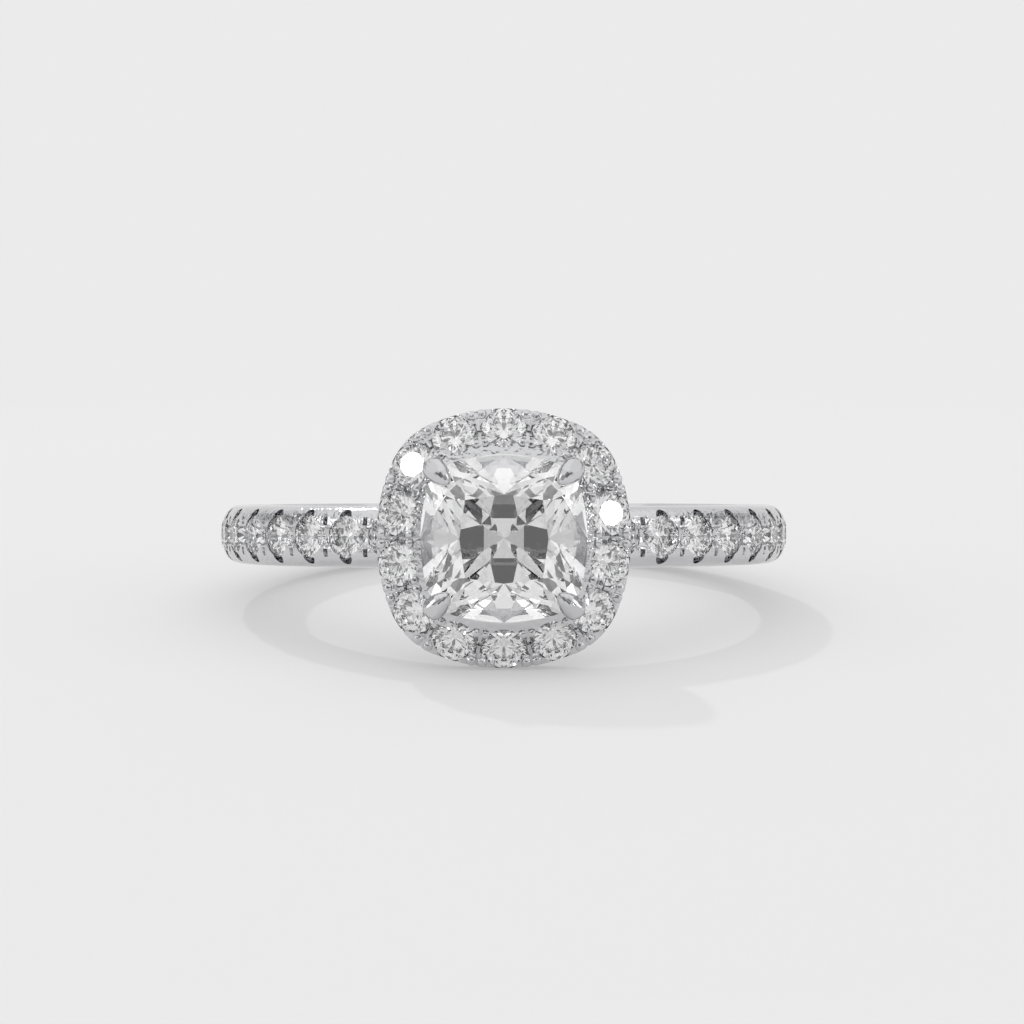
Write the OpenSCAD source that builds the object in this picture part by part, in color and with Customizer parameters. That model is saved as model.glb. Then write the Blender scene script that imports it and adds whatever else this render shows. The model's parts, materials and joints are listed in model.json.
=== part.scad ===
// Halo ring: a cushion brilliant in four claws, a halo of round brilliants that lean outward,
// and a shank with a row of round brilliants down each shoulder.
// Everything is built head up along +Z with the finger along Y, then laid on its side to rest.

/* [Finger and shank] */
// Inside diameter of the ring, US size 6
finger_d = 16.5; // [15:0.1:21]
// Radial thickness of the shank
shank_t = 1.7; // [1.6:0.05:2.2]
// Width of the shank along the finger
shank_w = 2.05; // [1.95:0.05:2.6]
// Radius that rounds the shank's outer edges
shoulder_r = 0.6; // [0.4:0.05:0.7]
// Chamfer that eases the shank's edges at the finger
inner_ease = 0.12; // [0.05:0.01:0.25]

/* [Shank stones] */
// Diameter of a stone of the shank
shank_stone_d = 1.42; // [1.3:0.01:1.5]
// Gap between the girdles of two neighbours on the shank
shank_stone_gap = 0.16; // [0.14:0.01:0.3]
// Angle from the head's axis to the first stone of a row
shank_first_a = 23; // [22:0.5:30]

/* [Centre stone] */
// Width of the cushion brilliant, side to side
centre_w = 5.4; // [5.2:0.05:6.2]
// Radius of its bowed sides
centre_side_r = 6.2; // [5:0.1:8]
// Radius of its rounded corners
centre_corner_r = 1.4; // [1.2:0.05:1.6]
// Height of its crown, girdle to table
centre_crown_h = 0.88; // [0.7:0.02:0.96]
// Depth at which the main facets of its pavilion would meet
centre_pavilion_h = 2.75; // [2.5:0.05:2.9]
// Slope of the flatter facets round its culet
centre_tip_a = 43; // [40:0.5:44]
// Height of its culet over the finger
culet_rise = 0.97; // [0.9:0.01:1.6]

/* [Halo] */
// Diameter of a stone of the halo
halo_stone_d = 1.47; // [1.3:0.01:1.5]
// Radius of the halo's bowed sides, taken at the centre stone's edge
halo_side_r = 4.4; // [4.2:0.1:5]
// Radius of its rounded corners, taken there too
halo_corner_r = 1.1; // [0.9:0.05:1.3]
// Angle by which the halo's stones lean outward
halo_cant = 22; // [15:1:26]
// Seam in plan between the centre girdle and the halo's girdles
halo_seam = 0.07; // [0.05:0.01:0.2]
// Extra seam at the two ends that point along the finger
halo_end_seam = 0.08; // [0.04:0.01:0.2]
// Drop from the centre girdle to the middle of the halo's girdles
halo_drop = 0.62; // [0.6:0.02:0.8]
// Depth of the halo's frame under its girdles
halo_depth = 0.95; // [0.85:0.05:1.2]
// Metal inside the halo's seats
halo_rim_t = 0.08; // [0.06:0.01:0.12]
// How far the halo's frame stands out past its girdles
frame_proud = 0.01; // [0:0.005:0.03]
// Taper of the frame's outer wall toward its foot
frame_taper = 0.05; // [0.02:0.01:0.1]
// Radius of a bead
bead_r = 0.19; // [0.15:0.01:0.21]
// Width of a nick between two beads
nick_w = 0.12; // [0.08:0.01:0.14]

/* [Claws and basket] */
// Radius of a claw's wire
claw_r = 0.36; // [0.32:0.01:0.4]
// Radius of a claw's tip
claw_tip_r = 0.1; // [0.07:0.01:0.14]
// Reach of a claw's tip in over the crown
claw_reach = 0.46; // [0.35:0.01:0.55]
// Height of the basket's rail over the shank
rail_rise = 0.3; // [0.25:0.05:0.5]
// Thickness of the basket's rail
rail_t = 0.5; // [0.4:0.02:0.6]

/* [Setting] */
// Clearance between a stone and its metal
stone_gap = 0.03; // [0.02:0.005:0.04]
// Height of the beads over a girdle
bead_h = 0.14; // [0.12:0.01:0.16]
// Lip of metal that reaches over a girdle
bead_lip = 0.05; // [0.03:0.005:0.06]
// Thickness of a small girdle
girdle_t = 0.04; // [0.03:0.005:0.06]
// Radius of the light hole under a small stone
azure_r = 0.25; // [0.2:0.01:0.3]

/* [Hidden] */
$fn = 96;

// Counts that the row of names above follows
side_stones = 8;
halo_stones = 14;

// Cut of a brilliant: crown angle, table share, pavilion share, and where its side points lie
crown_a = 34.5;
table_share = 0.57;
pavilion_share = 0.43;
star_share = 0.6;
culet_share = 0.24;
// Steepest line through a small stone's edges, which its seat follows
seat_a = 42;
// The centre stone has a thicker girdle, its own table and flatter facets round the culet, which
// take up a share of its width
centre_girdle_t = 3 * girdle_t;
centre_table_share = 0.53;
centre_tip_share = 0.28;
centre_crown_a = atan2(centre_crown_h, centre_w * (1 - centre_table_share) / 2);

// Clearance of the claws from the halo's stones, wider than a seat's
room_gap = 1.5 * stone_gap;

// Joints of the halo's frame: its corners and its two short straights stand a hair proud of the
// bowed sides and lap over their ends, by an angle and by a length
lap_proud = 0.01;
lap_a = 2;
lap_l = 0.1;

// Pockets of the shank: their radius, how far they reach past a girdle and how deep below it
pocket_r = 0.24;
pocket_reach = 0.2;
pocket_deep = 0.5;
// Saddles between neighbours: their radius, and their length along the row
saddle_r = 0.45;
saddle_l = 0.5;
// Nicks of the shank: where they lie and how long they are, as shares of a stone, then their
// half width at the top, their height over the girdles and their depth below them
shank_nick_place = 0.37;
shank_nick_share = 0.19;
shank_nick_half = 0.12;
shank_nick_top = 0.25;
shank_nick_deep = 0.12;
// Nicks of the halo and the wells at their inner ends: depths below its girdles, and well radius
halo_nick_deep = 0.2;
halo_well_deep = 0.3;
halo_well_r = 0.13;
// How far in the nicks of the halo start
halo_nick_in = 0.6;
// Beads of the halo and its scallops: how far out they lie and how wide they are, as shares. The
// inner beads lie a little nearer the middle than the outer ones
bead_place = 0.36;
bead_place_in = 0.31;
scallop_place = 0.35;
scallop_share = 0.4;
// Share of the frame's depth at which its outer wall starts to taper
frame_edge_share = 0.45;
// Claws: how far they stand outside the cushion's corner, where their feet are, how deep these go
// into the shank, how much wider than the wire a tip is and how fast it narrows, and the share of
// the tip's radius at which a flat is burnished on it
claw_out = 0.13;
claw_foot_x = 1;
claw_root = 0.6;
claw_swell = 1.06;
leaf_power = 1.3;
flat_share = 0.88;

// Shank
bore_r = finger_d / 2;
shank_r = bore_r + shank_t;
half_w = shank_w / 2;
shank_girdle_z = shank_r - bead_h - girdle_t / 2;
shank_step_a = 2 * asin((shank_stone_d + shank_stone_gap) / 2 / shank_girdle_z);

// A cushion outline has four side arcs of radius r and four corner arcs of radius c. The centres
// of the side arcs lie on the axes and those of the corner arcs on the diagonals.
half_c = centre_w / 2;
function side_at(r) = half_c - r;
function corner_at(r, c) = (side_at(r) + sqrt(2 * pow(r - c, 2) - pow(side_at(r), 2))) / 2;
// The centre stone's outline
side_to = side_at(centre_side_r);
corner_c = corner_at(centre_side_r, centre_corner_r);
side_half_a = atan2(corner_c, corner_c - side_to);
corner_far = corner_c * sqrt(2) + centre_corner_r;
tip_h = half_c * tan(centre_tip_a);
tip_edge_a = atan2(tip_h, corner_far);
// The outline that the halo follows, which bows more
bow_to = side_at(halo_side_r);
bow_c = corner_at(halo_side_r, halo_corner_r);
bow_half_a = atan2(bow_c, bow_c - bow_to);
bow_far = bow_c * sqrt(2) + halo_corner_r;

// Heights up the head's axis
culet_z = bore_r + culet_rise;
centre_depth = centre_pavilion_h * (1 - centre_tip_share) + tip_h * centre_tip_share;
centre_z = culet_z + centre_depth + centre_girdle_t / 2;
table_z = centre_z + centre_girdle_t / 2 + centre_crown_h;
halo_z = centre_z - centre_girdle_t / 2 - halo_drop;

// The halo's path runs through the middles of its girdles, offset from the outline it follows
halo_off = halo_stone_d / 2 * cos(halo_cant) + halo_seam;
seat_plan = (halo_stone_d / 2 + stone_gap) * cos(halo_cant);
frame_in = seat_plan + halo_rim_t;
frame_out = halo_stone_d / 2 * cos(halo_cant) + frame_proud;
frame_top = (bead_h + girdle_t / 2) / cos(halo_cant);
frame_foot = frame_out - frame_taper;
// Top of the frame's inner edge, kept clear of the centre stone's pavilion
frame_under = max(0, frame_in - halo_off + corner_far - bow_far);
frame_in_top = min(
    frame_top + frame_in * tan(halo_cant),
    halo_drop - frame_under * centre_pavilion_h / half_c - 1.5 * stone_gap
);

// Claws stand at the cushion's corners
claw_far = corner_far + claw_out;
claw_foot = [claw_foot_x, half_w - claw_r, shank_r - claw_root];
claw_top = [claw_far / sqrt(2), claw_far / sqrt(2), centre_z + claw_r / 2];
rail_z = shank_r + rail_rise;

// Rest: the angle at which the halo's lower edge and the shank's far edge both touch the floor.
// Either end of the wall's taper can be the edge that touches, so the larger angle counts.
path_end = half_c + halo_off + halo_end_seam;
low_edges = [
    [path_end + frame_foot, halo_z - halo_depth],
    [path_end + frame_out, halo_z - halo_depth * frame_edge_share]
];
function rest_angle(p) =
    let (run = p[1] + shank_r - shoulder_r, rise = p[0] - half_w + shoulder_r)
    atan2(rise, run) - asin(shoulder_r / norm([run, rise]));
lean = max([for (p = low_edges) rest_angle(p)]);
floor_z = max([for (p = low_edges) p[0] * cos(lean) - p[1] * sin(lean)]);
front_y = -table_z * cos(lean) - half_c * centre_table_share * sin(lean);
back_y = (shank_r - shoulder_r) * cos(lean) + (half_w - shoulder_r) * sin(lean) + shoulder_r;

// Distance from the middle to the cushion outline, grown outward by g, at angle t
function ray_to(px, py, r, t) =
    px * cos(t) + py * sin(t) + sqrt(r * r - pow(px * sin(t) - py * cos(t), 2));
function fold(t) = let (m = t - 90 * floor(t / 90)) m > 45 ? 90 - m : m;
function cushion(t, g = 0) =
    let (
        f = fold(t),
        r = centre_side_r + g,
        split = atan2(r * sin(side_half_a), side_to + r * cos(side_half_a))
    )
    f <= split ? ray_to(side_to, 0, r, f) : ray_to(corner_c, corner_c, centre_corner_r + g, f);

// Lengths of the path's pieces in one quarter, from the end's middle to the side's middle
arc_len = function (r, a) r * a * PI / 180;
len_side = arc_len(halo_side_r + halo_off, bow_half_a);
len_corner = arc_len(halo_corner_r + halo_off, 90 - 2 * bow_half_a);
len_quarter = 2 * len_side + len_corner + halo_end_seam;

// A place on the path, s along it from the end's middle: its x, its y and the angle of its normal
function on_path(s) =
    s < len_side ? on_arc(0, bow_to, halo_side_r, 90 - s / len_side * bow_half_a)
    : s < len_side + len_corner
    ? on_arc(
        bow_c, bow_c, halo_corner_r,
        90 - bow_half_a - (s - len_side) / len_corner * (90 - 2 * bow_half_a)
    )
    : s < 2 * len_side + len_corner
    ? on_arc(bow_to, 0, halo_side_r, bow_half_a * (1 - (s - len_side - len_corner) / len_side))
    : [half_c + halo_off, len_quarter - s, 0];
function on_arc(cx, cy, r, a) =
    [cx + (r + halo_off) * cos(a), cy + halo_end_seam + (r + halo_off) * sin(a), a];

// The same place for any s round the whole path, by folding it into the first quarter
function round_path(s) =
    let (
        q = s / len_quarter,
        k = floor(q),
        r = s - k * len_quarter,
        p = on_path(k == 0 || k == 2 ? r : len_quarter - r)
    )
    k == 0 ? p
    : k == 1 ? [p[0], -p[1], -p[2]]
    : k == 2 ? [-p[0], -p[1], 180 + p[2]]
    : [-p[0], p[1], 180 - p[2]];
halo_pitch = 4 * len_quarter / halo_stones;

// Height at xy of the plane through three points
function plane_z(a, b, c, xy) =
    let (n = cross(b - a, c - a)) a[2] - (n[0] * (xy[0] - a[0]) + n[1] * (xy[1] - a[1])) / n[2];
// Point whose distances along two directions 45 degrees apart are a and b
function meet(a, b, t) =
    [a * sin(t + 45) - b * sin(t), b * cos(t) - a * cos(t + 45)] / sin(45);

// A brilliant with eight mains, on an outline given as a distance for each angle. Its girdle's
// middle lies at z = 0, and n is how many straight steps the girdle takes along a half facet.
// Where tip is given, eight flatter facets go round the culet. Run out to the girdle, they would
// meet at that depth.
module brilliant(outline, crown_h, slope_a, girdle, pavilion_h, low_share, n, tip = undef) {
    z = girdle / 2;
    d = [for (k = [0:8]) outline(45 * k)];
    in = crown_h / tan(slope_a);
    table = [for (k = [0:7]) [(d[k] - in) * cos(45 * k), (d[k] - in) * sin(45 * k), z + crown_h]];
    star = [
        for (k = [0:7])
            let (p = meet(d[k] - star_share * in, d[k + 1] - star_share * in, 45 * k))
            [p[0], p[1], z + star_share * crown_h]
    ];
    low = [
        for (k = [0:7])
            let (p = meet(d[k], d[k + 1], 45 * k) * low_share)
            [p[0], p[1], -z - pavilion_h * (1 - low_share)]
    ];
    end = is_undef(tip) ? pavilion_h : pavilion_h * (1 - low_share) + tip * low_share;
    // The girdle's steps: the angle of each, and the three points of the facets over and under it
    steps = [
        for (k = [0:7])
            let (
                a0 = 45 * k,
                a1 = a0 + 45,
                am = a0 + (atan2(star[k][1], star[k][0]) - a0 + 360) % 360,
                g0 = rim(outline, a0),
                gm = rim(outline, am),
                g1 = rim(outline, a1)
            )
            for (h = [0, 1])
                for (j = [0:n - 1])
                    let (
                        from = h ? am : a0,
                        to = h ? a1 : am,
                        ends = h ? [gm, g1] : [g0, gm],
                        p = rim(outline, from + (to - from) * j / n)
                    )
                    [
                        p,
                        plane_z(star[k], up(ends[0], z), up(ends[1], z), p),
                        plane_z(low[k], up(ends[0], -z), up(ends[1], -z), p)
                    ]
    ];
    m = 16 * n;
    pts = concat(
        table, star,
        [for (s = steps) up(s[0], min(s[1], z))],
        [for (s = steps) up(s[0], max(s[2], -z))],
        low, [[0, 0, -z - end]]
    );
    top = 16;
    bottom = top + m;
    lows = bottom + m;
    culet = lows + 8;
    half = function (base, i) [for (j = [0:n]) base + (i * n + j) % m];
    faces = concat(
        [[for (k = [0:7]) k]],
        [for (k = [0:7]) [k, 8 + k, (k + 1) % 8]],
        [for (k = [0:7]) [k, 8 + (k + 7) % 8, top + 2 * n * k, 8 + k]],
        [for (i = [0:15]) concat([8 + floor(i / 2)], half(top, i))],
        [for (j = [0:m - 1]) [top + j, bottom + j, bottom + (j + 1) % m, top + (j + 1) % m]],
        [for (i = [0:15]) concat([lows + floor(i / 2)], turn(half(bottom, i)))],
        [
            for (k = [0:7])
                let (main = [lows + k, bottom + 2 * n * k, lows + (k + 7) % 8])
                is_undef(tip) ? concat([culet], main) : main
        ],
        [for (k = [0:7]) if (!is_undef(tip)) [culet, lows + k, lows + (k + 7) % 8]]
    );
    polyhedron(pts, [for (f = faces) turn(f)], convexity = 2);
}
function rim(outline, a) = [outline(a) * cos(a), outline(a) * sin(a)];
function up(p, z) = [p[0], p[1], z];
function turn(f) = [for (i = [len(f) - 1:-1:0]) f[i]];

// A small round brilliant
function crown_of(d) = d * (1 - table_share) / 2 * tan(crown_a);
module round_stone(d) {
    brilliant(
        function (t) d / 2,
        crown_of(d), crown_a, girdle_t, d * pavilion_share, culet_share, 2
    );
}

// The cushion brilliant at its height, grown by g on every side to cut its seat
module centre_cut(g = 0) {
    translate([0, 0, centre_z])
        brilliant(
            function (t) cushion(t, g),
            centre_crown_h + g / 2, centre_crown_a, centre_girdle_t + g,
            centre_pavilion_h * (half_c + g) / half_c, centre_tip_share, 4,
            tip_h * (half_c + g) / half_c
        );
}

// What a round stone's seat takes out of the metal: light hole, cone, girdle and the open top
module seat(d, deep) {
    r = d / 2 + stone_gap;
    g = girdle_t / 2 + stone_gap;
    lip = d / 2 - bead_lip;
    rotate_extrude()
        polygon([
            [0, -deep],
            [azure_r, -deep],
            [azure_r, -g - (r - azure_r) * tan(seat_a)],
            [r, -g],
            [r, g],
            [lip, g + (r - lip) * tan(seat_a)],
            [lip, 2 * d],
            [0, 2 * d]
        ]);
}

// Just the room of a round stone and a clearance, wider than a seat's, that claws keep from it
module stone_room(d) {
    r = d / 2 + room_gap;
    g = girdle_t / 2 + room_gap;
    rotate_extrude()
        polygon([
            [0, -g - r * tan(seat_a)],
            [r, -g],
            [r, g],
            [d * table_share / 2 + room_gap, g + crown_of(d)],
            [0, g + crown_of(d)]
        ]);
}

// Places of the small stones: those of the halo start at the middle of one end
module at_halo(i) {
    p = round_path(i * halo_pitch);
    translate([p[0], p[1], halo_z])
        rotate([0, halo_cant, p[2]])
            children();
}
// Those of the shank count from the head outward, first the right row and then the left
function shank_angle(i) =
    (i < side_stones ? 1 : -1) * (shank_first_a + (i % side_stones) * shank_step_a);
module at_shank(a, z = shank_girdle_z) {
    rotate([0, a, 0])
        translate([0, 0, z])
            children();
}

// The shank before its seats are cut, with rounded outer edges and eased inner ones
module shank_blank() {
    steps = 10;
    rotate([90, 0, 0])
        rotate_extrude()
            polygon(concat(
                [
                    [bore_r + inner_ease, -half_w],
                    [bore_r, -half_w + inner_ease],
                    [bore_r, half_w - inner_ease],
                    [bore_r + inner_ease, half_w]
                ],
                [
                    for (i = [0:steps])
                        let (a = 90 - 90 * i / steps)
                        [shank_r - shoulder_r * (1 - cos(a)), half_w - shoulder_r * (1 - sin(a))]
                ],
                [
                    for (i = [0:steps])
                        let (a = 90 * i / steps)
                        [shank_r - shoulder_r * (1 - cos(a)), -half_w + shoulder_r * (1 - sin(a))]
                ]
            ));
}

// Pockets in the shank beside a stone, one toward each edge of the band
module side_pockets() {
    for (s = [-1, 1])
        translate([0, s * (shank_stone_d / 2 + pocket_reach - pocket_r), -pocket_deep])
            cylinder(h = 2 * pocket_deep, r = pocket_r);
}

// A saddle between two stones of a row that runs along Y. It takes the lip away where their
// girdles come closest and leaves the beads on both sides of it
module saddle() {
    translate([0, 0, girdle_t / 2 + saddle_r])
        rotate([90, 0, 0])
            cylinder(h = saddle_l, r = saddle_r, center = true);
}

// Two nicks between neighbours, which split the metal there into beads
module bead_nick() {
    for (s = [-1, 1])
        translate([0, s * shank_stone_d * shank_nick_place, 0])
            rotate([90, 0, 0])
                linear_extrude(height = shank_stone_d * shank_nick_share, center = true)
                    polygon([
                        [0, -shank_nick_deep],
                        [shank_nick_half, shank_nick_top],
                        [-shank_nick_half, shank_nick_top]
                    ]);
}

// The halo's section: a canted top, an inner wall beside the centre stone and an outer wall.
// It is grown by g where one length of the frame laps over the next
module halo_section(g = 0) {
    t = tan(halo_cant);
    polygon([
        [-frame_in - g, -halo_depth - g],
        [frame_foot + g, -halo_depth - g],
        [frame_out + g, -halo_depth * frame_edge_share],
        [frame_out + g, frame_top - frame_out * t + g],
        [-frame_in - g, frame_in_top + g]
    ]);
}
module arc_of_section(x, y, r, from, to, g = 0) {
    translate([x, y, halo_z])
        rotate([0, 0, from])
            rotate_extrude(angle = to - from)
                translate([r + halo_off, 0])
                    halo_section(g);
}
module corner_of_section(x, from, to) {
    arc_of_section(
        x, bow_c + halo_end_seam, halo_corner_r, from - lap_a, to + lap_a, lap_proud
    );
}
module halo_frame() {
    b = bow_half_a;
    e = halo_end_seam;
    for (k = [0, 180])
        rotate([0, 0, k]) {
            arc_of_section(0, bow_to + e, halo_side_r, 90 - b, 90 + b);
            corner_of_section(bow_c, b, 90 - b);
            corner_of_section(-bow_c, 90 + b, 180 - b);
            arc_of_section(bow_to, e, halo_side_r, 0, b);
            arc_of_section(-bow_to, e, halo_side_r, 180 - b, 180);
            translate([half_c + halo_off, 0, halo_z])
                rotate([90, 0, 0])
                    linear_extrude(height = 2 * (e + lap_l), center = true)
                        halo_section(lap_proud);
        }
}

// A point of the canted plane through the halo's girdles: between two stones, d along, o outward
module between_halo(i, d = 0, o = 0, z = 0) {
    p = round_path((i + 0.5) * halo_pitch + d);
    translate([p[0], p[1], halo_z])
        rotate([0, halo_cant, p[2]])
            translate([o, 0, z])
                children();
}

// Pairs of beads between neighbours in the halo, outer ones and inner ones
module halo_beads() {
    for (i = [0:halo_stones - 1])
        for (s = [-1, 1])
            for (place = [bead_place, -bead_place_in])
                between_halo(
                    i, s * (bead_r + nick_w) / 2, halo_stone_d * place, bead_h - bead_r / 3
                )
                    sphere(r = bead_r);
}
// Between neighbours a nick runs outward across a small well and splits the beads
module halo_nicks() {
    for (i = [0:halo_stones - 1]) {
        between_halo(i, 0, 0, -halo_nick_deep)
            translate([-halo_nick_in, -nick_w / 2, 0])
                cube([halo_stone_d + halo_nick_in, nick_w, halo_stone_d]);
        between_halo(i, 0, 0, -halo_well_deep)
            cylinder(h = halo_stone_d, r = halo_well_r);
    }
}

// A scallop in the frame's outer edge, which bares a stone's girdle there
module scallop() {
    r = halo_stone_d * scallop_share;
    translate([halo_stone_d * scallop_place, 0, girdle_t / 2 - stone_gap + r])
        rotate([0, 90, 0])
            cylinder(h = halo_stone_d, r = r);
}

// A round rod from one point to another
module rod(a, b, r) {
    v = b - a;
    translate(a)
        rotate([0, acos(v[2] / norm(v)), atan2(v[1], v[0])])
            cylinder(h = norm(v), r = r);
}

// A leaf-shaped tip: half a ball of radius r, drawn out above to a point at height h
module leaf(r, h) {
    rotate_extrude()
        polygon(concat(
            [for (a = [-90:15:0]) [r * cos(a), r * sin(a)]],
            [for (a = [15:15:90]) [r * pow(cos(a), leaf_power), h * sin(a)]]
        ));
}

// One claw: a wire up from the shank, then a leaf that folds over the crown, with a flat on it
module claw() {
    far = (corner_far - claw_reach) / sqrt(2);
    rise = centre_girdle_t / 2 + stone_gap + claw_tip_r + claw_reach * tan(centre_crown_a);
    tip = [far, far, centre_z + rise];
    v = tip - claw_top;
    r = claw_r * claw_swell;
    h = norm(v) + claw_tip_r;
    rod(claw_foot, claw_top, claw_r);
    translate(claw_top)
        rotate([0, acos(v[2] / norm(v)), atan2(v[1], v[0])])
            difference() {
                leaf(r, h);
                translate([-(1 + flat_share) * r, -r, -r])
                    cube([r, 2 * r, r + h]);
            }
}
module claws() {
    for (x = [0, 1])
        for (y = [0, 1])
            mirror([x, 0, 0])
                mirror([0, y, 0])
                    claw();
}

// The rail that ties the claws together under the stone
module rail() {
    t = (rail_z - claw_foot[2]) / (claw_top[2] - claw_foot[2]);
    p = claw_foot + t * (claw_top - claw_foot);
    r = norm([p[0], p[1]]);
    h = rail_t / 2;
    e = rail_t / 5;
    translate([0, 0, rail_z])
        rotate_extrude()
            polygon([
                [r - h, -h + e], [r - h + e, -h], [r + h - e, -h], [r + h, -h + e],
                [r + h, h - e], [r + h - e, h], [r - h + e, h], [r - h, h - e]
            ]);
}

// The halo's metal: frame and beads, cut by seats, scallops, saddles and nicks
module set_halo() {
    difference() {
        union() {
            halo_frame();
            halo_beads();
        }
        for (i = [0:halo_stones - 1])
            at_halo(i)
                seat(halo_stone_d, 2 * halo_depth);
        for (i = [0:halo_stones - 1])
            at_halo(i)
                scallop();
        for (i = [0:halo_stones - 1])
            between_halo(i)
                saddle();
        halo_nicks();
    }
}

// The shank's metal, cut by seats, pockets, saddles, nicks and the culet's room
module set_shank() {
    difference() {
        shank_blank();
        for (i = [0:2 * side_stones - 1])
            at_shank(shank_angle(i))
                seat(shank_stone_d, 2 * shank_t);
        for (i = [0:2 * side_stones - 1])
            at_shank(shank_angle(i))
                side_pockets();
        for (s = [-1, 1])
            for (i = [0:side_stones - 2])
                at_shank(s * (shank_first_a + (i + 0.5) * shank_step_a)) {
                    bead_nick();
                    rotate([0, 0, 90])
                        saddle();
                }
        culet_room();
    }
}

// Room in the shank for the culet
module culet_room() {
    deep = shank_r - culet_z + 2 * stone_gap;
    translate([0, 0, culet_z - 2 * stone_gap])
        cylinder(h = 2 * deep, r1 = stone_gap, r2 = 2 * deep / tan(tip_edge_a) + stone_gap);
}

// The claws and their rail, with the seat of the centre stone and room for the halo's stones
module basket() {
    difference() {
        union() {
            claws();
            rail();
        }
        centre_cut(stone_gap);
        for (i = [0:halo_stones - 1])
            at_halo(i)
                stone_room(halo_stone_d);
    }
}

// All the metal, head up
module mounting_up() {
    set_shank();
    set_halo();
    basket();
}

// The ring laid on its side, its head toward -Y
module laid() {
    translate([0, -(front_y + back_y) / 2, floor_z])
        rotate([90 - lean, 0, 0])
            children();
}

module mounting() {
    color("Silver")
        laid()
            mounting_up();
}
module centre_stone() {
    color("AliceBlue")
        laid()
            centre_cut();
}
module halo_stone(i) {
    color("LightCyan")
        laid()
            at_halo(i)
                round_stone(halo_stone_d);
}
module shank_stone(i) {
    color("LightBlue")
        laid()
            at_shank(shank_angle(i))
                round_stone(shank_stone_d);
}

mounting();
centre_stone();
halo_stone(0);  // halo_stone_01
halo_stone(1);  // halo_stone_02
halo_stone(2);  // halo_stone_03
halo_stone(3);  // halo_stone_04
halo_stone(4);  // halo_stone_05
halo_stone(5);  // halo_stone_06
halo_stone(6);  // halo_stone_07
halo_stone(7);  // halo_stone_08
halo_stone(8);  // halo_stone_09
halo_stone(9);  // halo_stone_10
halo_stone(10);  // halo_stone_11
halo_stone(11);  // halo_stone_12
halo_stone(12);  // halo_stone_13
halo_stone(13);  // halo_stone_14
shank_stone(0);  // shank_stone_01
shank_stone(1);  // shank_stone_02
shank_stone(2);  // shank_stone_03
shank_stone(3);  // shank_stone_04
shank_stone(4);  // shank_stone_05
shank_stone(5);  // shank_stone_06
shank_stone(6);  // shank_stone_07
shank_stone(7);  // shank_stone_08
shank_stone(8);  // shank_stone_09
shank_stone(9);  // shank_stone_10
shank_stone(10);  // shank_stone_11
shank_stone(11);  // shank_stone_12
shank_stone(12);  // shank_stone_13
shank_stone(13);  // shank_stone_14
shank_stone(14);  // shank_stone_15
shank_stone(15);  // shank_stone_16
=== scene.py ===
# %% [markdown]
# # A halo ring, dressed for the studio
#
# The ring arrives as finished solids: one piece of cast white metal and thirty-one cut stones.
# Their shapes are right already, so this lesson gives them what a solid can't hold: the mirror
# polish of the metal, the fire of the diamonds, the light of a photographer's table and a camera.
#
# The finger's hollow is the ring's natural measure. Its middle, the axis that a finger would take
# and the axis of the head, square to it, place nearly everything that follows.

# %% The frame and its measures
import json
import math
import bpy
import numpy as np
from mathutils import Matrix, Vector

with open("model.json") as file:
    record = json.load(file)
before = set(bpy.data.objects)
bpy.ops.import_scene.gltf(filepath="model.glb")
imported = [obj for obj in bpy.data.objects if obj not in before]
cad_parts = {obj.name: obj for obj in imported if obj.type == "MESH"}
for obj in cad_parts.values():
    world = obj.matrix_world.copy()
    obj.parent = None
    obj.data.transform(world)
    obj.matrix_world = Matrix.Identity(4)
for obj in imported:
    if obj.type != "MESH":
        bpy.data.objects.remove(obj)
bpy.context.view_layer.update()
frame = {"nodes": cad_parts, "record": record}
nodes = frame["nodes"]
MM = 0.001
bore = next(m for m in frame["record"]["mounts"] if m["name"] == "finger_bore")
ring_centre = Vector(bore["pos_m"])
finger_axis = Vector(bore["axis"])
head_axis = Vector((0, -finger_axis.z, finger_axis.y))
small_stones = [n for n in nodes if "_stone_" in n]
print("nodes", len(nodes), "centre of the ring", [round(c / MM, 2) for c in ring_centre])

# %% [markdown]
# ## Three helpers for every material
#
# A material is a small graph of nodes. One function adds a node with its settings and its links, so
# a graph reads from top to bottom like a recipe. Colours are written as the sRGB hex values that a
# painter would pick from the screen, and one function turns them into the linear light that the
# renderer works in. The third says how far a value lies inside given edges, with soft borders, and
# serves wherever one thing fades into another: cuts into polish, near paper into far, wall into flag.

# %% Colour and node helpers
def linear(hex_colour, alpha=1.0):
    """The sRGB curve undone: each byte over 255, then a power of 2.4 above a short straight part."""
    s = np.array([int(hex_colour[i : i + 2], 16) for i in (1, 3, 5)]) / 255
    rgb = np.where(s <= 0.04045, s / 12.92, ((s + 0.055) / 1.055) ** 2.4)
    return (*rgb.tolist(), alpha)


def new_material(name):
    """A material with an empty graph and its output node."""
    material = bpy.data.materials.new(name)
    material.use_nodes = True
    material.node_tree.nodes.clear()
    output = material.node_tree.nodes.new("ShaderNodeOutputMaterial")
    return material, material.node_tree, output


def add(tree, kind, settings=None, **sockets):
    """Adds a node. A socket gets a value, or the output socket of another node that it links to."""
    node = tree.nodes.new(kind)
    for name, value in (settings or {}).items():
        setattr(node, name, value)
    for name, value in sockets.items():
        key = int(name[1:]) if name[0] == "_" and name[1:].isdigit() else name.replace("_", " ")
        if isinstance(value, bpy.types.NodeSocket):
            tree.links.new(value, node.inputs[key])
        else:
            node.inputs[key].default_value = value
    return node


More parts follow.
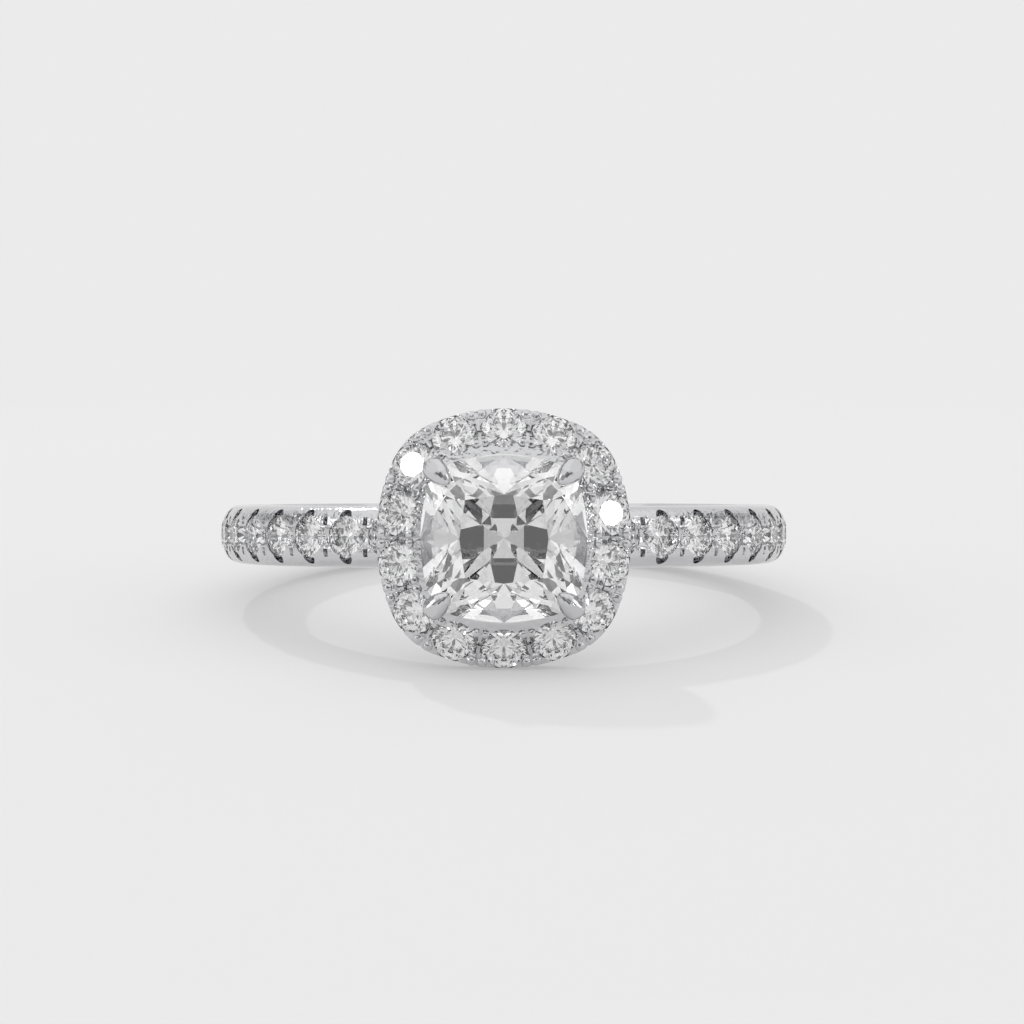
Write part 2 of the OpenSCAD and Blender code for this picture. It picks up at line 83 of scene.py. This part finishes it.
def within(tree, value, *edges):
    """The share that a value is inside its edges. Over each edge it goes smoothly from 0 to 1."""
    share = 1.0
    for none, whole in edges:
        step = add(
            tree, "ShaderNodeMapRange", {"interpolation_type": "SMOOTHSTEP"},
            Value=value, From_Min=none, From_Max=whole,
        )
        share = add(
            tree, "ShaderNodeMath", {"operation": "MULTIPLY"}, _0=step.outputs["Result"], _1=share
        ).outputs[0]
    return share


# %% [markdown]
# ## Where the graver went
#
# Round the stones the metal was cut by hand with a polished graver, which leaves small bright
# hollows. They lie on the outer skin of the band's front half and on the face of the head, fade out
# towards the claw tips, and leave the halo's back alone. So the bump that stands for them is let in
# by three distances: from the finger's axis, up the axis of the head, and back across the table to
# just past the ring's middle. Edges as simple as these also catch the back of the basket's rail and
# the walls inside the head, which shows from behind.

# %% Graver cuts
CUT_MM = 0.16
CUT_DEEP_MM = 0.04
CUT_BAND_MM = ((9.5, 9.7), (10.2, 10.05))
CUT_HEAD_MM = ((10.65, 10.8), (12.5, 12.2))
CUT_FRONT_MM = ((2.4, 1.6),)


def metres(edges_mm):
    """The same edges in the scene's own unit."""
    return [(none * MM, whole * MM) for none, whole in edges_mm]


def graver_cut(tree, place):
    """The share of graver cuts: whole on the band's front skin and in the front of the head."""
    off = add(tree, "ShaderNodeVectorMath", {"operation": "SUBTRACT"}, _0=place, _1=ring_centre)
    turned = add(
        tree, "ShaderNodeVectorMath", {"operation": "CROSS_PRODUCT"},
        _0=off.outputs[0], _1=finger_axis,
    )
    radius = add(tree, "ShaderNodeVectorMath", {"operation": "LENGTH"}, _0=turned.outputs[0])
    height = add(
        tree, "ShaderNodeVectorMath", {"operation": "DOT_PRODUCT"}, _0=off.outputs[0], _1=head_axis
    )
    y = add(tree, "ShaderNodeSeparateXYZ", Vector=place).outputs["Y"]
    band = within(tree, radius.outputs["Value"], *metres(CUT_BAND_MM))
    head = within(tree, height.outputs["Value"], *metres(CUT_HEAD_MM))
    either = add(tree, "ShaderNodeMath", {"operation": "MAXIMUM"}, _0=band, _1=head)
    front = within(tree, y, *metres(CUT_FRONT_MM))
    share = add(tree, "ShaderNodeMath", {"operation": "MULTIPLY"}, _0=either.outputs[0], _1=front)
    return share.outputs[0]


# %% [markdown]
# ## Rhodium-plated white gold
#
# The metal is 18 carat white gold, lost-wax cast, filed, polished with rouge on a felt wheel and then
# plated with a bright skin of rhodium. To the eye that is a nearly neutral mirror. What keeps it from
# looking like a computer's mirror is the hand of the polisher: the surface rolls by about a micron
# over a millimetre, and wheel marks dull it here and there. The marks are drawn as wide as a hair,
# because the real ones are too fine to show.

# %% Polished white gold
METAL_TONES = ("#CCCCCE", "#DADADC")
METAL_ROUGHNESS = (0.05, 0.13)
MARK_MM = 0.09
WAVE_MM = 1.1
WAVE_DEEP_MM = 0.02
WAVE_SHARE = 0.04


def polished_white_gold():
    """A mirror metal whose roughness and surface roll a little, cut by hand round the stones."""
    material, tree, output = new_material("rhodium_plated_white_gold_polished")
    place = add(tree, "ShaderNodeTexCoord").outputs["Object"]
    roll = add(tree, "ShaderNodeTexNoise", Vector=place, Scale=1 / (WAVE_MM * MM), Detail=2.0)
    marks = add(tree, "ShaderNodeTexNoise", Vector=place, Scale=1 / (MARK_MM * MM), Detail=3.0)
    hollows = add(tree, "ShaderNodeTexNoise", Vector=place, Scale=1 / (CUT_MM * MM), Detail=1.0)
    dull = add(
        tree, "ShaderNodeMapRange", Value=marks.outputs["Fac"],
        To_Min=METAL_ROUGHNESS[0], To_Max=METAL_ROUGHNESS[1],
    )
    tone = add(
        tree, "ShaderNodeMix", {"data_type": "RGBA"}, Factor=roll.outputs["Fac"],
        _6=linear(METAL_TONES[0]), _7=linear(METAL_TONES[1]),
    )
    cuts = add(
        tree, "ShaderNodeBump", Strength=graver_cut(tree, place), Distance=CUT_DEEP_MM * MM,
        Height=hollows.outputs["Fac"],
    )
    bump = add(
        tree, "ShaderNodeBump", Strength=WAVE_SHARE, Distance=WAVE_DEEP_MM * MM,
        Height=roll.outputs["Fac"], Normal=cuts.outputs["Normal"],
    )
    shader = add(
        tree, "ShaderNodeBsdfPrincipled", Metallic=1.0, Base_Color=tone.outputs[2],
        Roughness=dull.outputs["Result"], Normal=bump.outputs["Normal"],
    )
    tree.links.new(shader.outputs["BSDF"], output.inputs["Surface"])
    return material


# %% [markdown]
# ## Diamond
#
# A cut diamond is a colourless crystal with an IOR of 2.417, so high that most light that enters
# through the crown is turned round inside the pavilion and comes back out. Its facets are polished
# flat on an iron scaife with diamond dust, which leaves them without any visible grain. Only the
# faintest clouds of tint run through the crystal.

# %% Diamond
DIAMOND_IOR = 2.417
CLOUD_MM = 0.5


def diamond(name, body):
    """Clear crystal, tinted between its body colour and pure white by soft clouds."""
    material, tree, output = new_material(name)
    place = add(tree, "ShaderNodeTexCoord").outputs["Object"]
    clouds = add(tree, "ShaderNodeTexNoise", Vector=place, Scale=1 / (CLOUD_MM * MM), Detail=1.0)
    tint = add(
        tree, "ShaderNodeMix", {"data_type": "RGBA"}, Factor=clouds.outputs["Fac"],
        _6=linear(body), _7=linear("#FFFFFF"),
    )
    shader = add(
        tree, "ShaderNodeBsdfPrincipled", Base_Color=tint.outputs[2], Roughness=0.0,
        IOR=DIAMOND_IOR, Transmission_Weight=1.0,
    )
    tree.links.new(shader.outputs["BSDF"], output.inputs["Surface"])
    return material


# %% [markdown]
# ## Dressing the solids
#
# Every solid keeps its shape and only changes its skin. The mounting is metal all over. The centre
# stone is of a shade finer than the small stones, as a jeweller would buy them.

# %% Dress the nodes
def dress(node, material):
    """Puts one material in every slot of a CAD node, or adds a slot if it has none."""
    slots = nodes[node].data.materials
    if not slots:
        slots.append(material)
    for i in range(len(slots)):
        slots[i] = material


dress("mounting", polished_white_gold())
dress("centre_stone", diamond("diamond_cushion_cut_polished", "#FBFBFC"))
small_diamond = diamond("diamond_round_cut_polished", "#F8F8FA")
for stone in small_stones:
    dress(stone, small_diamond)
print("dressed the mounting, the centre stone and", len(small_stones), "small stones")

# %% [markdown]
# ## The paper under the ring
#
# Small bright goods are photographed on a white sweep: a sheet that runs from under the object up
# behind it, so that no horizon shows. The sheet is lit from below too, like the frosted plate of a
# product table, so half of what the eye gets near the ring is the sheet's own even glow. Further
# away the glow is all, which keeps the ground one tone up to the edge of the picture.

# %% Floor
SWEEP_HALF_MM = 500
SWEEP_RISE_MM = 900
SWEEP_BEND_MM = 300
SWEEP_WIDTH = 1.5
SWEEP_STEPS = 40
SWEEP_COLUMNS = 30
PAPER = "#EBEBEB"
SHEET = 0.836
GLOW = 0.5
GLOW_FROM_MM = ((30, 60),)


def sweep(name, half, rise, bend):
    """A sheet of paper: along its run it lies flat, then turns up through a quarter circle."""
    run = np.concatenate([np.linspace(-half, half, SWEEP_STEPS), np.full(SWEEP_STEPS + 2, half)])
    quarter = np.linspace(0, math.pi / 2, SWEEP_STEPS)
    turn = np.concatenate([np.zeros(SWEEP_STEPS), quarter, np.full(2, math.pi / 2)])
    lift = np.concatenate([np.zeros(2 * SWEEP_STEPS), np.array([rise / 2, rise])])
    y = run + bend * np.sin(turn)
    z = bend * (1 - np.cos(turn)) + lift
    x = np.linspace(-SWEEP_WIDTH * half, SWEEP_WIDTH * half, SWEEP_COLUMNS)
    co = np.stack(np.broadcast_arrays(x[:, None], y[None, :], z[None, :]), -1).reshape(-1, 3)
    cols = len(y)
    i, j = np.meshgrid(np.arange(len(x) - 1), np.arange(cols - 1), indexing="ij")
    a = (i * cols + j).ravel()
    faces = np.stack([a, a + cols, a + cols + 1, a + 1], -1)
    mesh = bpy.data.meshes.new(name)
    mesh.from_pydata(co.tolist(), [], faces.tolist())
    mesh.polygons.foreach_set("use_smooth", np.ones(len(faces), bool))
    sheet = bpy.data.objects.new(name, mesh)
    bpy.context.scene.collection.objects.link(sheet)
    return sheet


def paper_material():
    """Matt paper near the ring, half of it its own glow, and evenly lit paper further away."""
    material, tree, output = new_material("matt_white_paper")
    place = add(tree, "ShaderNodeTexCoord").outputs["Object"]
    away = add(tree, "ShaderNodeVectorMath", {"operation": "LENGTH"}, Vector=place)
    far = within(tree, away.outputs["Value"], *metres(GLOW_FROM_MM))
    glow = add(tree, "ShaderNodeMath", {"operation": "MAXIMUM"}, _0=far, _1=GLOW)
    near = add(tree, "ShaderNodeBsdfDiffuse", Color=(SHEET, SHEET, SHEET, 1.0))
    even = add(tree, "ShaderNodeEmission", Color=linear(PAPER), Strength=1.0)
    blend = add(
        tree, "ShaderNodeMixShader", _0=glow.outputs["Value"],
        _1=near.outputs["BSDF"], _2=even.outputs["Emission"],
    )
    tree.links.new(blend.outputs["Shader"], output.inputs["Surface"])
    return material


floor = sweep("paper_sweep", SWEEP_HALF_MM * MM, SWEEP_RISE_MM * MM, SWEEP_BEND_MM * MM)
floor.data.materials.append(paper_material())
print("sweep of", len(floor.data.polygons), "faces")

# %% [markdown]
# ## The lamps
#
# One small lamp high at the back throws the thin ring of shadow in front of the band. Small and far
# away, it leaves the shadow's edge nearly sharp. A soft box on either side fills the dark.

# %% Lamps
LAMPS = (
    ("key_lamp", (-176, 465, 420), 24, 0.9),
    ("left_box", (-420, -120, 160), 240, 0.2),
    ("right_box", (420, -120, 160), 240, 0.2),
)


def lamp(name, place_mm, size_mm, watts, aim):
    """A soft box: a square lamp at a place, turned so that it looks at the aim."""
    data = bpy.data.lights.new(name, "AREA")
    data.shape = "SQUARE"
    data.size = size_mm * MM
    data.energy = watts
    box = bpy.data.objects.new(name, data)
    box.location = Vector(place_mm) * MM
    box.rotation_euler = (Vector(aim) - box.location).to_track_quat("-Z", "Y").to_euler()
    bpy.context.scene.collection.objects.link(box)
    print(name, "at", [round(c) for c in place_mm], "mm,", watts, "W")


for name, place_mm, size_mm, watts in LAMPS:
    lamp(name, place_mm, size_mm, watts, aim=ring_centre)

# %% [markdown]
# ## The room around the table
#
# A diamond shows the room it sits in, cut up into splinters. In a plain white room it would be a
# pale blob, so a photographer keeps parts of the room dark. Here a dark patch round the lens gives the
# four dark blocks in the middle of the centre stone, and a row of upright dark cards, flags in the
# trade, gives the dark splinters round them. The wall is grey low down, which models the metal, and
# the ceiling is white.
#
# Every direction in the room has a sine, its height above the table, and a turn round the vertical.
# The wall's tone follows the sine. The flags are a cosine of the turn, cut off softly, between two
# sines. The patch is an ellipse of directions round the one that leads to the lens.

# %% Room
ROOM = ((0.20, "#C8C8C8"), (0.60, "#E6E6E6"), (0.75, "#FFFFFF"))
FLAGS = 17.0
FLAG_TONE = "#484848"
FLAG_COSINES = ((0.0, 0.2),)
FLAG_SINES = ((0.20, 0.25), (0.62, 0.58))
LENS_SIDE = "#666666"
LENS_AT = (0.0, -0.985, 0.172)
LENS_SPREAD = (0.30, 1.0, 0.24)
LENS_EDGE = ((0.92, 1.08),)


def studio_room():
    """Grey walls that whiten upward, dark upright flags, and a dark ellipse round the lens."""
    world = bpy.data.worlds.new("studio_room")
    bpy.context.scene.world = world
    world.use_nodes = True
    tree = world.node_tree
    way = add(tree, "ShaderNodeTexCoord").outputs["Generated"]
    split = add(tree, "ShaderNodeSeparateXYZ", Vector=way)
    walls = add(tree, "ShaderNodeValToRGB", Fac=split.outputs["Z"])
    stops = walls.color_ramp.elements
    for k, (sine, colour) in enumerate(ROOM):
        stop = stops[k] if k < len(stops) else stops.new(sine)
        stop.position = sine
        stop.color = linear(colour)

    turn = add(
        tree, "ShaderNodeMath", {"operation": "ARCTAN2"},
        _0=split.outputs["X"], _1=split.outputs["Y"],
    )
    phase = add(tree, "ShaderNodeMath", {"operation": "MULTIPLY"}, _0=turn.outputs[0], _1=FLAGS)
    comb = add(tree, "ShaderNodeMath", {"operation": "COSINE"}, _0=phase.outputs[0])
    across = within(tree, comb.outputs[0], *FLAG_COSINES)
    tall = within(tree, split.outputs["Z"], *FLAG_SINES)
    flag = add(tree, "ShaderNodeMath", {"operation": "MULTIPLY"}, _0=tall, _1=across)
    flagged = add(
        tree, "ShaderNodeMix", {"data_type": "RGBA"}, Factor=flag.outputs[0],
        _6=walls.outputs["Color"], _7=linear(FLAG_TONE),
    )

    off = add(tree, "ShaderNodeVectorMath", {"operation": "SUBTRACT"}, _0=way, _1=LENS_AT)
    scaled = add(
        tree, "ShaderNodeVectorMath", {"operation": "DIVIDE"}, _0=off.outputs[0], _1=LENS_SPREAD
    )
    away = add(tree, "ShaderNodeVectorMath", {"operation": "LENGTH"}, _0=scaled.outputs[0])
    room = add(
        tree, "ShaderNodeMix", {"data_type": "RGBA"},
        Factor=within(tree, away.outputs["Value"], *LENS_EDGE),
        _6=linear(LENS_SIDE), _7=flagged.outputs[2],
    )
    tree.links.new(room.outputs[2], tree.nodes["Background"].inputs["Color"])
    print("room of", len(tree.nodes), "nodes with", int(FLAGS), "flags")


studio_room()

# %% [markdown]
# ## The camera
#
# The photo was taken with a long lens from a little over a hand's breadth away, slightly above the
# plane of the band. The distance shows in how much larger the head looks than the band behind it.
# The colours go to the screen as they are, because a film-like curve would grey the paper.
#
# Light is turned round in a stone many times before it leaves, and in the narrow seats it goes from
# stone to metal and back, so its paths may be long. Bright specks that such paths throw on the paper
# are left out, since they would need far more samples than they are worth.

# %% Camera
CAMERA_MM = 128.1
RISE_DEG = 9.88
LENS_PX = 3595.0
AIM_PX = (8.1, 21.4)
FRAME_PX = 1024
SENSOR_MM = 36.0
CLIP_MM = (1, 10000)
METAL_BOUNCES = 12
STONE_BOUNCES = 24

rise = math.radians(RISE_DEG)
camera_data = bpy.data.cameras.new("long_lens")
camera_data.sensor_width = SENSOR_MM
camera_data.lens = SENSOR_MM * LENS_PX / FRAME_PX
camera_data.clip_start = CLIP_MM[0] * MM
camera_data.clip_end = CLIP_MM[1] * MM
camera = bpy.data.objects.new("long_lens", camera_data)
toward = Vector((0, -math.cos(rise), math.sin(rise)))
camera.location = ring_centre + toward * CAMERA_MM * MM
upward = Vector((0, math.sin(rise), math.cos(rise)))
aim = ring_centre + (Vector((1, 0, 0)) * AIM_PX[0] + upward * AIM_PX[1]) * CAMERA_MM * MM / LENS_PX
camera.rotation_euler = (aim - camera.location).to_track_quat("-Z", "Y").to_euler()
bpy.context.scene.collection.objects.link(camera)
bpy.context.scene.camera = camera
print("lens of", round(camera_data.lens, 1), "mm,", CAMERA_MM, "mm from the middle of the ring")

bpy.context.scene.view_settings.view_transform = "Standard"
light_paths = bpy.context.scene.cycles
light_paths.glossy_bounces = METAL_BOUNCES
light_paths.transmission_bounces = STONE_BOUNCES
light_paths.max_bounces = STONE_BOUNCES
light_paths.caustics_reflective = False
light_paths.caustics_refractive = False

# %% [markdown]
# ## Two stones that flash
#
# In the photo the flat tops of two halo stones are pure white: each of them mirrors a bright spot to
# the lens, as every stone does once in a while when a ring is turned. The same happens here. The
# table of each of the two stones is found as its largest flat face, the line to the lens is
# mirrored in it, and a small spot is hung where that line leads.

# %% Two small spots
FLASHES = ("halo_stone_04", "halo_stone_13")
SPOT_AWAY_MM = 300
SPOT_MM = 14
SPOT_WATTS = 0.008
SAME_WAY = 0.9999


def table_of(stone):
    """The flat face with the most area: its middle, weighted by area, and its normal."""
    polygons = nodes[stone].data.polygons
    normal = np.empty(3 * len(polygons), np.float32)
    middle = np.empty(3 * len(polygons), np.float32)
    area = np.empty(len(polygons), np.float32)
    polygons.foreach_get("normal", normal)
    polygons.foreach_get("center", middle)
    polygons.foreach_get("area", area)
    normal, middle = normal.reshape(-1, 3), middle.reshape(-1, 3)
    alike = normal @ normal.T > SAME_WAY
    flat = alike[np.argmax(alike @ area)]
    centre = np.average(middle[flat], axis=0, weights=area[flat])
    return Vector(centre.tolist()), Vector(normal[flat][0].tolist())


for stone in FLASHES:
    middle, normal = table_of(stone)
    to_lens = (camera.location - middle).normalized()
    mirrored = 2 * normal.dot(to_lens) * normal - to_lens
    spot_mm = middle / MM + mirrored * SPOT_AWAY_MM
    lamp(stone + "_spot", spot_mm, SPOT_MM, SPOT_WATTS, aim=middle)
